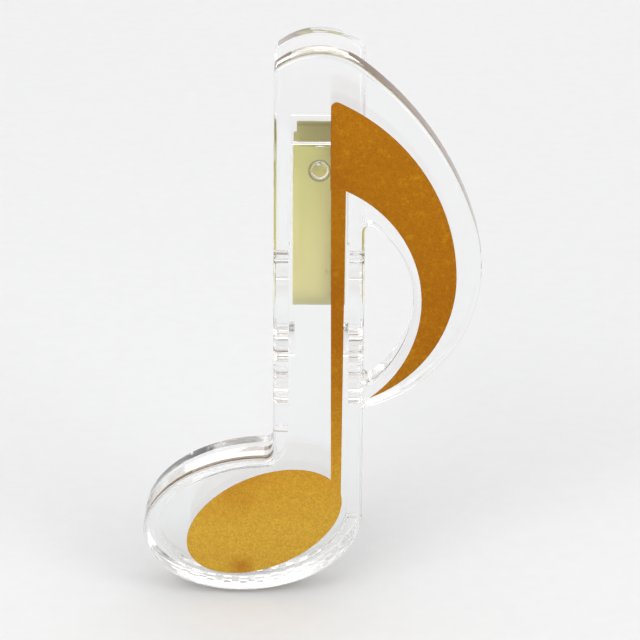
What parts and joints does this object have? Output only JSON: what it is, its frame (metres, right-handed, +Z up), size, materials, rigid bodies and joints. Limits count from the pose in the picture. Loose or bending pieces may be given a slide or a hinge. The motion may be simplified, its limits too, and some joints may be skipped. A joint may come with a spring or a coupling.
{
  "type": "sheet music clip",
  "caption": "Clear plastic spring clip for sheet music shaped like an eighth note, with a gold printed note on its front, a sprung hinge in the stem and toothed jaws in the head.",
  "frame": {"origin": "on the stem's centre line, level with the lowest point of the jaws, in the plane where the jaws close: the middle of the jaws' mouth", "axes": "+X to the flag's side, +Y from the front lever to the rear lever, +Z up the stem"},
  "size_m": [0.06, 0.0217, 0.1018],
  "materials": {
    "clear_front": "clear, polished",
    "clear_rear": "clear, polished",
    "spring_metal": "plated, lightly brushed",
    "gold_print": "satin gold ink"
  },
  "bodies": {
    "front": {"front_lever": "clear_front", "note_print": "gold_print", "leaf_spring": "spring_metal"},
    "rear": {"rear_lever": "clear_rear"}
  },
  "joints": [
    {"name": "squeeze", "type": "hinge", "parent": "front", "child": "rear", "pos_m": [0, 0.002, 0.046], "axis": [1, 0, 0], "range_deg": [0, 8], "stiffness_Nm_per_rad": 0.6, "springref_deg": -22.92, "deforming": ["leaf_spring"]}
  ]
}
